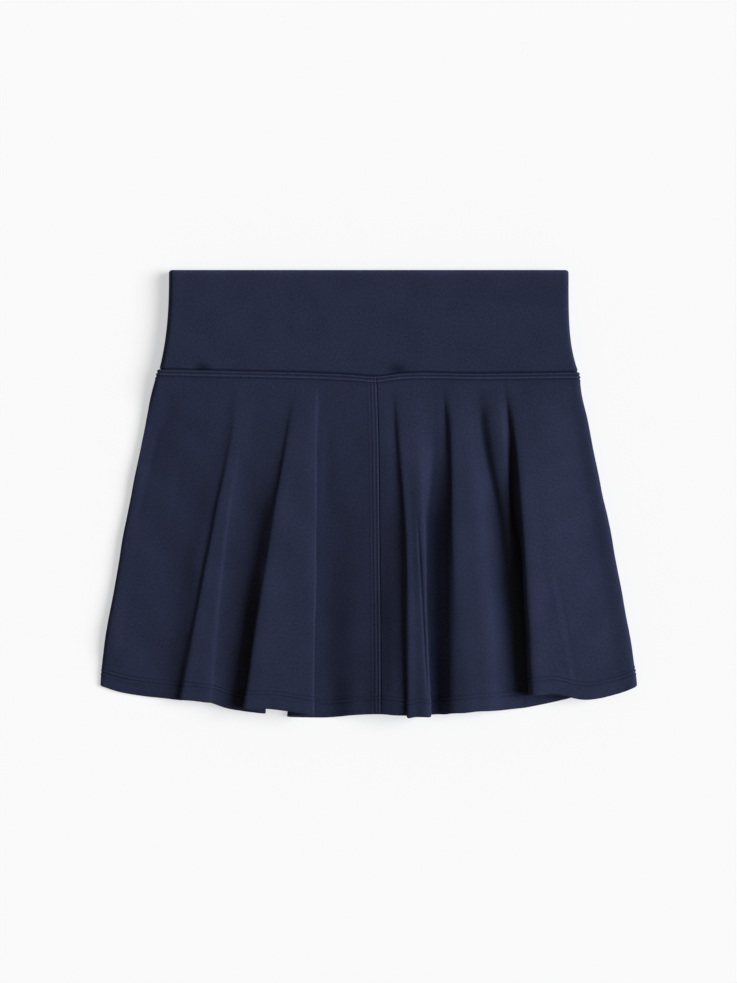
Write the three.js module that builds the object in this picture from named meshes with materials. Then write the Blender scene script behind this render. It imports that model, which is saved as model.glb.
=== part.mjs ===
// A pull-on cheer skirt with a wide stretch waistband, a flared front and back, and built-in shorts.
// It lies on its back. Millimetres. X runs across the skirt, +Y from the hem to the waistband, and +Z up.
// The origin is under the middle of the skirt, on the surface that it lies on.
import * as THREE from "three";

// Outline, lying flat
const waistWidth = 356; // top edge of the waistband
const waistSeamWidth = 378; // where the waistband meets the skirt
const hemWidth = 482;
const bandHeight = 92;
const skirtLength = 310; // from the waist seam to the lowest point of the hem
const hemSideRise = 28; // the hem's corners lie this far above its lowest point

// Cloth
const bandCloth = 1.2;
const facingCloth = 1.0;
const meshCloth = 0.8;
const skirtCloth = 1.0;
const shortsCloth = 0.7;
const clearance = 0.3; // between layers that lie on each other
const waistGap = 7.6; // between the waistband's two facings
const legGap = 5; // between the two layers of the shorts

// Seams and trim
const allowanceWidth = 6;
const allowanceThickness = 1.2;
const stitchWidth = 5; // a twin-needle cover stitch
const stitchThickness = 0.4;
const hemStitchHeight = 12; // from the hem up to the cover stitch
const bandSideSeam = 6; // width of the waistband's side seams
const skirtSideTurn = 1; // thickness of the cloth that turns round the skirt's sides
const elasticWidth = 10;
const elasticInset = 2; // from the waistband's top edge down to the elastic

// Folds
const drapeLength = 37; // below the waist seam, where the front comes down onto the shorts
const backFoldHeight = 1.2;
const frontHemLevel = 2.8; // underside of the front's valleys at the hem
const sideWaistLevel = 8; // underside of the front at its side seams, at the waist seam
const sideHemLevel = 1.6; // and at the hem

// Shorts
const shortsWaist = 336;
const legHemSpan = 364; // from one leg hem's outer end to the other's
const crotchDepth = 168; // waist seam to crotch
const inseam = 64;
const legSpread = 34; // between the two leg hems
const legHemHeight = 14;
const shortsSeamWidth = 4;
const gussetWidth = 30;
const gussetLength = 38;

// Care label
const labelWidth = 30;
const labelLength = 45;
const labelThickness = 0.4;
const labelDepth = 45; // waist seam to the label's top
const labelInset = 12; // from the edge of the shorts

// Each line runs down the skirt from the waist seam to the hem, along a ridge, a valley or
// the turn of a fold.
// waist and hem are places across the skirt, from -1 at the left side seam to 1 at the right one. height is
// above the valleys at the hem, and rise is how far the hem there lies above its lowest point.
const line = (waist, hem, height, rise) => ({ waist, hem, height, rise });
const frontLines = [
  line(-1, -1, 0, hemSideRise),
  line(-0.95, -0.93, 3, 25),
  line(-0.85, -0.83, 5, 21),
  line(-0.74, -0.73, 2, 18),
  line(-0.64, -0.66, 0.5, 17), // under the first flute
  line(-0.61, -0.7, 8, 17), // its left edge
  line(-0.57, -0.65, 14, 15),
  line(-0.52, -0.57, 12, 13),
  line(-0.45, -0.5, 2, 9),
  line(-0.32, -0.4, 0.5, 4), // under the broad flute
  line(-0.295, -0.465, 9, 9), // its left edge
  line(-0.28, -0.43, 17, 9),
  line(-0.26, -0.32, 18, 7),
  line(-0.24, -0.21, 16, 4),
  line(-0.23, -0.2, 9, 3), // its right edge
  line(-0.22, -0.28, 2, 1), // under it again
  line(-0.19, -0.2, 0.5, 0),
  line(-0.1, -0.09, 2, 1),
  line(0.02, 0.05, 3, 2), // centre front seam
  line(0.07, 0.1, 1, 2),
  line(0.12, 0.165, 0.5, 2), // under the third flute
  line(0.125, 0.13, 8, 0), // its left edge
  line(0.165, 0.17, 14, 1),
  line(0.22, 0.22, 11, 3),
  line(0.32, 0.275, 1, 4),
  line(0.345, 0.345, 0.5, 4), // under the fourth flute
  line(0.355, 0.305, 8, 4), // its left edge
  line(0.41, 0.37, 13, 5),
  line(0.5, 0.48, 9, 8),
  line(0.58, 0.6, 1, 12),
  line(0.64, 0.73, 0.5, 18), // under the fifth flute
  line(0.66, 0.605, 9, 20), // its left edge
  line(0.72, 0.66, 14, 21),
  line(0.82, 0.78, 11, 18),
  line(0.94, 0.93, 6, 20),
  line(1, 1, 0, hemSideRise),
];

// The back lies flat, with low ridges that rise inside the skirt.
const backLines = [
  line(-1, -1, 0, hemSideRise),
  line(-0.86, -0.86, 0, 25),
  line(-0.72, -0.72, 0, 21),
  line(-0.66, -0.66, 1, 19),
  line(-0.6, -0.6, 0, 18),
  line(-0.42, -0.42, 0, 14),
  line(-0.36, -0.36, 1, 13),
  line(-0.3, -0.3, 0, 12),
  line(0.02, 0.05, 0, 7), // centre back seam
  line(0.3, 0.3, 0, 12),
  line(0.36, 0.36, 1, 13),
  line(0.42, 0.42, 0, 14),
  line(0.6, 0.6, 0, 18),
  line(0.66, 0.66, 1, 19),
  line(0.72, 0.72, 0, 21),
  line(0.86, 0.86, 0, 25),
  line(1, 1, 0, hemSideRise),
];
const firstRightOf = (lines) => lines.findIndex((l) => l.waist > 0);

// Layers that lie on each other, from the lowest up
function stackUp(lowest, ...thicknesses) {
  let level = lowest;
  return thicknesses.map((thickness) => {
    const layer = { bottom: level, top: level + thickness };
    level = layer.top + clearance;
    return layer;
  });
}
const [backOuter, backMesh, backFacing] = stackUp(0, bandCloth, meshCloth, facingCloth);
const [frontFacing, frontMesh, frontOuter] = stackUp(
  backFacing.top + waistGap, facingCloth, meshCloth, bandCloth,
);
const [, , backStitch, shortsBackAtWaist] = stackUp(
  0, skirtCloth, allowanceThickness, stitchThickness, shortsCloth,
);
const backTop = Math.max(skirtCloth + backFoldHeight, backStitch.top);
const [shortsBack] = stackUp(backTop + clearance, shortsCloth);
const [shortsFront, frontAllowance] = stackUp(shortsBack.top + legGap, shortsCloth, allowanceThickness);
const frontRestLevel = frontAllowance.top + clearance; // underside of the front where it lies on the shorts
const shortsFrontAtWaist = frontOuter.bottom - allowanceThickness - shortsCloth - 2 * clearance;

// Places along Y
const topY = (bandHeight + skirtLength) / 2;
const waistSeamY = topY - bandHeight;
const hemY = waistSeamY - skirtLength;
const crotchY = waistSeamY - crotchDepth;
const legHemY = crotchY - inseam;
const legHemTopY = legHemY + legHemHeight;
const elasticTopY = topY - elasticInset;
const elasticBottomY = elasticTopY - elasticWidth;

const { lerp, smoothstep } = THREE.MathUtils;

// How far the layers have come from the waist seam to where they lie on each other, from 0 to 1
const drape = (y) => smoothstep(waistSeamY - y, 0, drapeLength);

const cloth = (color, roughness = 0.85) => new THREE.MeshStandardMaterial({ color, roughness, metalness: 0 });
const shell = cloth(0x272b43);
const lining = cloth(0x22263c);
const powerMesh = cloth(0x1c1f30, 0.9);
const elastic = cloth(0x16181f, 0.7);
const thread = cloth(0x30355a, 0.6);
const label = cloth(0xe8e8e6, 0.5);

const skirt = new THREE.Group();

function addMesh(name, material, geometry) {
  const mesh = new THREE.Mesh(geometry, material.clone());
  mesh.name = name;
  skirt.add(mesh);
}

// A slab of cloth, bent into place. at(across, along, upper) gives the place of each corner: across and along
// run from 0 to 1, along in equal steps for the rows, and upper is 1 on the upper face and 0 on the lower.
function addSlab(name, material, columns, rows, at) {
  const geometry = new THREE.BoxGeometry(1, 1, 1, columns, rows, 1);
  const position = geometry.attributes.position;
  for (let i = 0; i < position.count; i++) {
    const across = position.getX(i) + 0.5;
    const along = 0.5 - position.getY(i);
    const p = at(across, along, position.getZ(i) + 0.5);
    position.setXYZ(i, p.x, p.y, p.z);
  }
  addMesh(name, material, geometry);
}

// A loop of cloth or elastic pressed flat, cut square at both ends
function addLoop(name, material, [left, right], [bottom, top], thickness, [upper, lower]) {
  const loop = new THREE.Shape();
  loop.moveTo(left, bottom).lineTo(right, bottom).lineTo(right, top).lineTo(left, top).closePath();
  const inside = new THREE.Path();
  inside.moveTo(left + thickness, bottom + thickness).lineTo(left + thickness, top - thickness);
  inside.lineTo(right - thickness, top - thickness).lineTo(right - thickness, bottom + thickness).closePath();
  loop.holes.push(inside);
  const geometry = new THREE.ExtrudeGeometry(loop, { depth: upper - lower, bevelEnabled: false });
  geometry.rotateX(Math.PI / 2).translate(0, upper, 0);
  addMesh(name, material, geometry);
}

const hands = { left: -1, right: 1 };

// Waistband: outer cloth, power mesh and facing, front and back, with an elastic loop inside the top edge
const bandHalf = (y) => lerp(waistWidth, waistSeamWidth, ((topY - y) / bandHeight) ** 3) / 2;

function addBandLayer(name, material, layer, inset, [upper, lower]) {
  addSlab(name, material, 1, 6, (across, along, isUpper) => {
    const y = lerp(upper, lower, along);
    const x = (2 * across - 1) * (bandHalf(y) - inset);
    return { x, y, z: isUpper ? layer.top : layer.bottom };
  });
}

const wholeBand = [topY, waistSeamY];
const belowElastic = [elasticBottomY - clearance, waistSeamY];
const lined = bandSideSeam + 2 * clearance;
addBandLayer("waistband_front_outer", shell, frontOuter, 0, wholeBand);
addBandLayer("waistband_back_outer", shell, backOuter, 0, wholeBand);
addBandLayer("waistband_front_mesh", powerMesh, frontMesh, lined, belowElastic);
addBandLayer("waistband_back_mesh", powerMesh, backMesh, lined, belowElastic);
addBandLayer("waistband_front_facing", lining, frontFacing, lined, wholeBand);
addBandLayer("waistband_back_facing", lining, backFacing, lined, wholeBand);

const elasticHalf = waistWidth / 2 - clearance;
addLoop(
  "waistband_elastic", elastic, [-elasticHalf, elasticHalf], [backMesh.bottom, frontMesh.top], meshCloth,
  [elasticTopY, elasticBottomY],
);

for (const [side, hand] of Object.entries(hands)) {
  addSlab(`waistband_side_seam_${side}`, lining, 1, 5, (across, along, isUpper) => {
    const y = lerp(...belowElastic, along);
    const inset = bandSideSeam * (hand < 0 ? across : 1 - across);
    return { x: hand * (bandHalf(y) - inset), y, z: isUpper ? frontMesh.top : backMesh.bottom };
  });
}

// The skirt's cloth is worked out at these distances below the waist seam, and is straight between them.
const hemStitchDown = skirtLength - hemStitchHeight - stitchWidth;
const shortsDown = crotchDepth + inseam;
const rowsOverShorts = 4;
const skirtRows = [
  0,
  allowanceWidth,
  drapeLength / 2,
  drapeLength,
  ...Array.from({ length: rowsOverShorts }, (_, i) =>
    lerp(drapeLength, shortsDown, (i + 1) / rowsOverShorts)),
  (shortsDown + hemStitchDown) / 2,
  hemStitchDown,
  hemStitchDown + stitchWidth,
  skirtLength,
];
const sideOffset = skirtCloth / 2 + clearance; // from the middle of the cloth's edge to the turned cloth
const panelHalf = (share) => lerp(waistSeamWidth, hemWidth, share) / 2 - sideOffset - skirtSideTurn;

// The surface halfway through the cloth of one side of the skirt. place counts along the lines, down is the
// distance below the waist seam, and offset is how far out of the cloth to go.
function skirtSurface(lines, levelAt, growth) {
  const sections = skirtRows.map((down) => {
    const share = down / skirtLength;
    const points = lines.map((l) => new THREE.Vector3(
      lerp(l.waist, l.hem, share) * panelHalf(share),
      lerp(waistSeamY - clearance, hemY + l.rise, share),
      levelAt(l, down) + l.height * growth(share),
    ));
    return new THREE.CatmullRomCurve3(points, false, "centripetal");
  });
  const onSection = (section, place, offset) => {
    const t = place / (lines.length - 1);
    const tangent = section.getTangent(t);
    const outward = new THREE.Vector3(-tangent.z, 0, tangent.x).normalize();
    return section.getPoint(t).addScaledVector(outward, offset);
  };
  return (place, down, offset) => {
    const next = Math.max(1, skirtRows.findIndex((row) => row >= down));
    const part = (down - skirtRows[next - 1]) / (skirtRows[next] - skirtRows[next - 1]);
    return onSection(sections[next - 1], place, offset).lerp(onSection(sections[next], place, offset), part);
  };
}

// The front comes down from the waistband onto the shorts, runs past their legs and comes down to the hem.
// At its side seams it comes down to the back.
function frontLevel({ waist, rise }, down) {
  const y = lerp(waistSeamY, hemY + rise, down / skirtLength);
  const onShorts = lerp(frontOuter.bottom, frontRestLevel, drape(y));
  const middle = lerp(onShorts, frontHemLevel, smoothstep(-y, -legHemY, -hemY - rise));
  const side = lerp(sideWaistLevel, sideHemLevel, down / skirtLength);
  return (Math.abs(waist) === 1 ? side : middle) + skirtCloth / 2;
}

const front = {
  lines: frontLines,
  perLine: 2,
  at: skirtSurface(frontLines, frontLevel, (share) => share ** 0.7),
};
const back = {
  lines: backLines,
  perLine: 1,
  at: skirtSurface(backLines, () => skirtCloth / 2, (share) => backFoldHeight * share),
};

// Cloth or thread that follows one side of the skirt, from one place to another and between two distances
// below the waist seam. It lies at an offset from the middle of the skirt's cloth.
function addOnSkirt(name, material, side, [from, to], [top, bottom], offset, thickness) {
  const downs = [top, ...skirtRows.filter((row) => row > top && row < bottom), bottom];
  const columns = (to - from) * side.perLine;
  addSlab(name, material, columns, downs.length - 1, (across, along, isUpper) => {
    const down = downs[Math.round(along * (downs.length - 1))];
    return side.at(lerp(from, to, across), down, offset + thickness * (isUpper - 0.5));
  });
}

// A strip along the centre seam, which follows the cloth on both sides of it
function addOnCentre(name, material, side, width, offset, thickness) {
  const centre = firstRightOf(side.lines);
  const between = skirtRows.filter((row) => row >= allowanceWidth && row < hemStitchDown);
  const downs = [...between, hemStitchDown - clearance];
  addSlab(name, material, 2, downs.length - 1, (across, along, isUpper) => {
    const down = downs[Math.round(along * (downs.length - 1))];
    const depth = offset + thickness * (isUpper - 0.5);
    const outward = 2 * across - 1;
    const p = side.at(centre, down, depth);
    const beside = side.at(centre + outward / side.perLine, down, depth);
    return p.addScaledVector(beside.sub(p).normalize(), (Math.abs(outward) * width) / 2);
  });
}

// Each side of the skirt is two gores, with a seam at the centre.
for (const [name, side] of Object.entries({ front, back })) {
  const centre = firstRightOf(side.lines);
  const ranges = { left: [0, centre], right: [centre, side.lines.length - 1] };
  for (const [hand, sign] of Object.entries(hands)) {
    const beside = (place, down, offset) => {
      const p = side.at(place, down, offset);
      if (place === centre) p.x += (sign * clearance) / 2;
      return p;
    };
    const gore = { ...side, at: beside };
    addOnSkirt(`skirt_${name}_${hand}`, shell, gore, ranges[hand], [0, skirtLength], 0, skirtCloth);
  }
}

// The cloth that turns round the skirt's sides holds the side seams and joins the front to the back.
for (const [side, hand] of Object.entries(hands)) {
  const edge = hand < 0 ? 0 : frontLines.length - 1;
  addSlab(`skirt_side_seam_${side}`, shell, 1, skirtRows.length - 1, (across, along, isUpper) => {
    const p = front.at(edge, skirtRows[Math.round(along * (skirtRows.length - 1))], 0);
    const outward = skirtSideTurn * (hand < 0 ? 1 - across : across);
    return { x: p.x + hand * (sideOffset + outward), y: p.y, z: isUpper ? p.z + skirtCloth / 2 : 0 };
  });
}

// Needle threads lie on the front's outer face. Inside, the allowances lie on the cloth, and on the back
// the looper threads lie over them.
const onCloth = (thickness) => skirtCloth / 2 + clearance + thickness / 2;
const threadOnCloth = onCloth(stitchThickness);
const allowanceOnCloth = onCloth(allowanceThickness);
const threadOnAllowance = threadOnCloth + allowanceThickness + clearance;
const waistRange = [clearance, allowanceWidth - clearance];
const hemRange = [hemStitchDown, hemStitchDown + stitchWidth];
for (const [name, side, inward, seamThread] of [
  ["front", front, -1, threadOnCloth],
  ["back", back, 1, threadOnAllowance],
]) {
  const last = side.lines.length - 1;
  const clearOfSides = [1 / side.perLine, last - 1 / side.perLine];
  const allowanceOffset = inward * allowanceOnCloth;
  addOnSkirt(
    `waist_seam_allowance_${name}`, lining, side, clearOfSides, waistRange,
    allowanceOffset, allowanceThickness,
  );
  addOnSkirt(
    `waist_coverstitch_${name}`, thread, side, clearOfSides, waistRange, seamThread, stitchThickness,
  );
  addOnSkirt(
    `hem_coverstitch_${name}`, thread, side, clearOfSides, hemRange, threadOnCloth, stitchThickness,
  );
  addOnCentre(
    `center_${name}_seam_allowance`, lining, side, allowanceWidth, allowanceOffset, allowanceThickness,
  );
  addOnCentre(`center_${name}_coverstitch`, thread, side, stitchWidth, seamThread, stitchThickness);
}

// Shorts
const shortsOuter = (y) => lerp(shortsWaist, legHemSpan, (waistSeamY - y) / (waistSeamY - legHemY)) / 2;
const shortsInner = (y) => lerp(clearance, legSpread, Math.max(0, crotchY - y) / inseam) / 2;
const shortsBottom = {
  front: (y) => lerp(shortsFrontAtWaist, shortsFront.bottom, drape(y)),
  back: (y) => lerp(shortsBackAtWaist.bottom, shortsBack.bottom, drape(y)),
};
const legEndY = legHemTopY + clearance;
const shortsRows = [
  waistSeamY - clearance,
  waistSeamY - allowanceWidth,
  waistSeamY - drapeLength / 2,
  waistSeamY - drapeLength,
  crotchY,
  legEndY,
];

// A piece of the shorts, worked out at the given rows, between two edges and two levels
function addToShorts(name, hand, rows, edgesAt, levelsAt) {
  addSlab(name, lining, 1, rows.length - 1, (across, along, isUpper) => {
    const y = rows[Math.round(along * (rows.length - 1))];
    const inner = hand < 0 ? 1 - across : across;
    return { x: hand * edgesAt(y)[inner], y, z: levelsAt(y)[isUpper] };
  });
}

for (const [side, hand] of Object.entries(hands)) {
  for (const [layer, bottomAt] of Object.entries(shortsBottom)) {
    const edges = (y) => [shortsInner(y), shortsOuter(y)];
    const levels = (y) => [bottomAt(y), bottomAt(y) + shortsCloth];
    addToShorts(`shorts_${layer}_${side}`, hand, shortsRows, edges, levels);
  }
  const between = (y) => [shortsBottom.back(y) + shortsCloth + clearance, shortsBottom.front(y) - clearance];
  const outerSeam = (y) => [shortsOuter(y) - shortsSeamWidth, shortsOuter(y)];
  addToShorts(`shorts_side_seam_${side}`, hand, shortsRows, outerSeam, between);
  const innerSeam = (y) => [shortsInner(y), shortsInner(y) + shortsSeamWidth];
  const inseamRows = [crotchY - gussetLength / 2 - clearance, legEndY];
  addToShorts(`shorts_inseam_${side}`, hand, inseamRows, innerSeam, between);
  const hemEnds = [shortsInner(legHemY), shortsOuter(legHemTopY)].map((x) => hand * x);
  addLoop(
    `shorts_leg_hem_${side}`, lining, [Math.min(...hemEnds), Math.max(...hemEnds)],
    [shortsBack.bottom, shortsFront.top], shortsCloth, [legHemTopY, legHemY],
  );
}

// The gusset is a diamond that lies on the back of the shorts.
const diamond = new THREE.Shape();
diamond.moveTo(gussetWidth / 2, 0).lineTo(0, gussetLength / 2);
diamond.lineTo(-gussetWidth / 2, 0).lineTo(0, -gussetLength / 2).closePath();
const gusset = new THREE.ExtrudeGeometry(diamond, { depth: shortsCloth, bevelEnabled: false });
addMesh("shorts_gusset", lining, gusset.translate(0, crotchY, shortsBack.top + clearance));

// The care label hangs under the back of the shorts, near their left side seam.
const labelY = waistSeamY - labelDepth - labelLength / 2;
const labelX = labelInset + labelWidth / 2 - shortsOuter(labelY);
const labelZ = shortsBack.bottom - clearance - labelThickness / 2;
const labelShape = new THREE.BoxGeometry(labelWidth, labelLength, labelThickness);
addMesh("care_label", label, labelShape.translate(labelX, labelY, labelZ));

export default skirt;
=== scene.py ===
"""Looks of the navy cheer skirt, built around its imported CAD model.

Lengths are in millimetres until a mesh is made, and meshes are in metres, in the frame of the CAD model:
+X to the right of the photograph, +Y towards the waistband, +Z up from the floor. Left and right in names
are those of the photograph.
"""

import math

import bpy
import numpy as np
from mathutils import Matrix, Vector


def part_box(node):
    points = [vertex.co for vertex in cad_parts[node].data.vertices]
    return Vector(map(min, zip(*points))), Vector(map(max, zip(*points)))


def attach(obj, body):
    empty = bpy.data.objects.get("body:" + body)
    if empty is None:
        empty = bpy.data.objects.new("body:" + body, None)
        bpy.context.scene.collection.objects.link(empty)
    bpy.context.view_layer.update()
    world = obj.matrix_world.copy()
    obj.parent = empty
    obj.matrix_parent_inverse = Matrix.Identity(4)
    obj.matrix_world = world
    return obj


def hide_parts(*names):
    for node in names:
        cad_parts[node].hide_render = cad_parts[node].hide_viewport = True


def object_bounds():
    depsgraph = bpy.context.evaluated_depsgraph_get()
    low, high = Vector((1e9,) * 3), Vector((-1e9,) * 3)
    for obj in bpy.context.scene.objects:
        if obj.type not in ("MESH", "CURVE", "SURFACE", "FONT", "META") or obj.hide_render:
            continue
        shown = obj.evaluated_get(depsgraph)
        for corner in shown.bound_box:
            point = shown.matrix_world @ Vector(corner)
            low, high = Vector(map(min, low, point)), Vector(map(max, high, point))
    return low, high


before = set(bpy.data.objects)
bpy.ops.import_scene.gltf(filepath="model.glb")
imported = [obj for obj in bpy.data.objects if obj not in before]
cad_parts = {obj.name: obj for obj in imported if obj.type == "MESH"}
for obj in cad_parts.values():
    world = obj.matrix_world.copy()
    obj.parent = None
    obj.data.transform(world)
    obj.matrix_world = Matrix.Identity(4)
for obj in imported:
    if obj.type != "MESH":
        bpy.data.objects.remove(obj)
cad_bounds = [list(corner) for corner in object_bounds()]

MM = 0.001


def box_mm(node):
    low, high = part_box(node)
    return np.array(low) / MM, np.array(high) / MM


# Sizes that the CAD model sets
band_low, band_high = box_mm("waistband_front_outer")
elastic_low, elastic_high = box_mm("waistband_elastic")
shorts_back_high = box_mm("shorts_back_left")[1]
shorts_front_high = box_mm("shorts_front_left")[1]
leg_hem_low, leg_hem_high = box_mm("shorts_leg_hem_right")
label_low, label_high = box_mm("care_label")
gusset_low, gusset_high = box_mm("shorts_gusset")

TOP_Y = band_high[1] - 0.8  # the middle of the cloth, under the top edge's outer face
SEAM_Y = band_low[1]
HEM_Y = cad_bounds[0][1] / MM
BAND_TOP = band_high[2]
WAIST_HALF = elastic_high[0] + 0.3
SEAM_HALF = band_high[0]
LENGTH = SEAM_Y - HEM_Y
LEG_HEM_Y = leg_hem_low[1]

# Cloth and sewing
CLOTH = 0.9
BAND_CLOTH = 1.1
SHORTS_CLOTH = 0.65
NEEDLE_GAUGE = 3.4  # between the two rows of a cover stitch
FIRST_ROW = 2.9  # from a seam to the nearer row
SECOND_ROW = FIRST_ROW + NEEDLE_GAUGE
HEM_ROW = 12.0  # from the hem to the lower row
STITCH_PITCH = 1.85
THREAD = 0.24  # radius
ALLOWANCE = 7.0


# ---------------------------------------------------------------- shapes in numbers


def ease(x, low, high):
    """0 up to low, 1 from high, and smooth between."""
    t = np.clip((np.asarray(x, float) - low) / (high - low), 0, 1)
    return t * t * (3 - 2 * t)


def bell(x, centre, width):
    return np.exp(-(((x - centre) / width) ** 2))


def mix(a, b, t):
    return a + (b - a) * t


def waves(u, v, length_u, length_v, seed, count=7):
    """Smooth irregular waves from about -1 to 1, with roughly these wavelengths along u and v."""
    draw = np.random.default_rng(seed)
    total = np.zeros(np.broadcast(u, v).shape)
    for _ in range(count):
        angle_u, angle_v = draw.uniform(0.55, 1.6, 2) * draw.choice([-1, 1], 2)
        phase = draw.uniform(0, 2 * math.pi)
        total += np.sin(2 * math.pi * (u * angle_u / length_u + v * angle_v / length_v) + phase)
    return total / math.sqrt(count)


def unit(v):
    return v / np.maximum(np.linalg.norm(v, axis=-1, keepdims=True), 1e-9)


def sweep(points, counts):
    """Centripetal Catmull-Rom curves through points (rows, lines, 3), with counts steps between two lines."""
    before = 2 * points[:, :1] - points[:, 1:2]
    after = 2 * points[:, -1:] - points[:, -2:-1]
    p = np.concatenate([before, points, after], axis=1)
    parts = []
    for k, count in enumerate(counts):
        a, b, c, d = (p[:, k + i, None] for i in range(4))
        gaps = [np.linalg.norm(q - o, axis=-1, keepdims=True) for o, q in ((a, b), (b, c), (c, d))]
        t1, t2, t3 = np.cumsum(np.sqrt(np.maximum(gaps, 1e-4)), axis=0)
        t = t1 + np.linspace(0, 1, count, endpoint=False)[None, :, None] * (t2 - t1)
        a1 = mix(a, b, t / t1)
        a2 = mix(b, c, (t - t1) / (t2 - t1))
        a3 = mix(c, d, (t - t2) / (t3 - t2))
        b1 = mix(a1, a2, t / t2)
        b2 = mix(a2, a3, (t - t1) / (t3 - t1))
        parts.append(mix(b1, b2, (t - t1) / (t2 - t1)))
    parts.append(points[:, -1:])
    return np.concatenate(parts, axis=1)


def curve_through(x, known):
    """A smooth height at x, through known pairs of place and height."""
    places, heights = np.array(known, float).T
    right = np.clip(np.searchsorted(places, x), 1, len(places) - 1)
    t = np.clip((x - places[right - 1]) / (places[right] - places[right - 1]), 0, 1)
    slopes = np.gradient(heights, places)
    step = places[right] - places[right - 1]
    h00, h10 = 2 * t**3 - 3 * t**2 + 1, t**3 - 2 * t**2 + t
    h01, h11 = -2 * t**3 + 3 * t**2, t**3 - t**2
    return (
        h00 * heights[right - 1]
        + h10 * step * slopes[right - 1]
        + h01 * heights[right]
        + h11 * step * slopes[right]
    )


def stations(share, values):
    """Values known at the stations, for every line, at each share of the way down."""
    return np.concatenate([curve_through(share, list(zip(STATIONS, line))) for line in values], axis=1)


def outward(grid, flipped=False):
    """Normals of a grid whose rows run down and whose columns run right, seen from outside."""
    n = unit(np.cross(np.gradient(grid, axis=0), np.gradient(grid, axis=1)))
    return -n if flipped else n


def lengths_along(line):
    """Distance from the first point of a line to each of its points."""
    return np.concatenate([[0], np.cumsum(np.linalg.norm(np.diff(line, axis=0), axis=1))])


# ---------------------------------------------------------------- meshes


def add_mesh(name, vertices, quads, uv, material, slot, painted_light_and_tucks=None):
    mesh = bpy.data.meshes.new(name)
    mesh.vertices.add(len(vertices))
    mesh.vertices.foreach_set("co", (vertices * MM).astype(np.float32).ravel())
    corners = quads.astype(np.int32).ravel()
    mesh.loops.add(len(corners))
    mesh.loops.foreach_set("vertex_index", corners)
    mesh.polygons.add(len(quads))
    mesh.polygons.foreach_set("loop_start", np.arange(0, len(corners), 4, dtype=np.int32))
    mesh.update(calc_edges=True)
    layer = mesh.uv_layers.new(name="cloth")
    layer.data.foreach_set("uv", (uv[corners] * MM).astype(np.float32).ravel())
    # The attribute holds painted highlight and painted shade for the colour, and how strongly stitches tuck
    # the cloth.
    if painted_light_and_tucks is not None:
        mesh.attributes.new("painted_light_and_tucks", "FLOAT_VECTOR", "POINT").data.foreach_set(
            "vector", painted_light_and_tucks.astype(np.float32).ravel()
        )
    mesh.shade_smooth()
    mesh.materials.append(material)
    piece = bpy.data.objects.new(name, mesh)
    bpy.context.scene.collection.objects.link(piece)
    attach(piece, "root")
    return piece


def grid_quads(rows, columns):
    index = np.arange(rows * columns).reshape(rows, columns)
    corners = [index[:-1, :-1], index[1:, :-1], index[1:, 1:], index[:-1, 1:]]
    return np.stack(corners, axis=-1).reshape(-1, 4)


def edge_loop(grid):
    """The border of a grid, from its top left corner round to the right."""
    return np.concatenate([grid[0, :-1], grid[:-1, -1], grid[-1, :0:-1], grid[:0:-1, 0]])


def add_cloth(name, outer, inner, uv, material, slot, flipped=False, painted_light_and_tucks=None):
    """A closed piece of cloth between two grids, with rounded edges. painted_light_and_tucks puts painted
    highlight, painted shade and stitch tucks on its outer face.
    """
    rows, columns = outer.shape[:2]
    index = np.arange(rows * columns).reshape(rows, columns)
    neighbour = index.copy()
    neighbour[0], neighbour[-1] = index[1], index[-2]
    neighbour[1:-1, 0], neighbour[1:-1, -1] = index[1:-1, 1], index[1:-1, -2]
    border, inside = edge_loop(index), edge_loop(neighbour)
    flat_outer, flat_inner = outer.reshape(-1, 3), inner.reshape(-1, 3)
    thickness = np.linalg.norm(flat_outer[border] - flat_inner[border], axis=1, keepdims=True)
    middle = (flat_outer + flat_inner) / 2
    rim = middle[border] + unit(middle[border] - middle[inside]) * thickness * 0.45
    first_rim, first_inner = len(flat_outer), len(flat_outer) + len(rim)
    outer_quads = grid_quads(rows, columns)
    ring = np.arange(len(border))
    following = np.roll(ring, -1)
    sides = [
        np.stack([border, border[following], first_rim + following, first_rim + ring], axis=1),
        np.stack(
            [first_rim + ring, first_rim + following, first_inner + border[following], first_inner + border],
            axis=1,
        ),
    ]
    quads = np.concatenate([outer_quads, *sides, outer_quads[:, ::-1] + first_inner])
    if flipped:
        quads = quads[:, ::-1]
    vertices = np.concatenate([flat_outer, rim, flat_inner])
    flat_uv = uv.reshape(-1, 2)
    if painted_light_and_tucks is not None:
        flat_painted_light_and_tucks = painted_light_and_tucks.reshape(-1, 3)
        painted_light_and_tucks = np.concatenate([flat_painted_light_and_tucks, flat_painted_light_and_tucks[border], 0 * flat_painted_light_and_tucks])
    return add_mesh(
        name, vertices, quads, np.concatenate([flat_uv, flat_uv[border], flat_uv]), material, slot, painted_light_and_tucks
    )


SIDES = 6  # of a thread
ROUND = np.linspace(0, 2 * math.pi, SIDES, endpoint=False)
CAP = np.array([[0, 1, 2, 3], [0, 3, 4, 5]])


def tube_quads(rings):
    """Quads of one closed tube of rings, each with SIDES corners."""
    index = np.arange(rings * SIDES).reshape(rings, SIDES)
    around = np.roll(index, -1, axis=1)
    walls = np.stack([index[:-1], index[1:], around[1:], around[:-1]], axis=-1).reshape(-1, 4)
    return np.concatenate([walls, CAP, CAP[:, ::-1] + (rings - 1) * SIDES])


def rings_along(centres, tangents, normals, radii):
    """Rings of corners (..., rings, SIDES, 3) round a thread's centreline."""
    beside = unit(np.cross(tangents, normals))
    up = unit(np.cross(beside, tangents))
    spoke = up[..., None, :] * np.cos(ROUND)[:, None] + beside[..., None, :] * np.sin(ROUND)[:, None]
    return centres[..., None, :] + spoke * radii[..., None, None]


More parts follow.
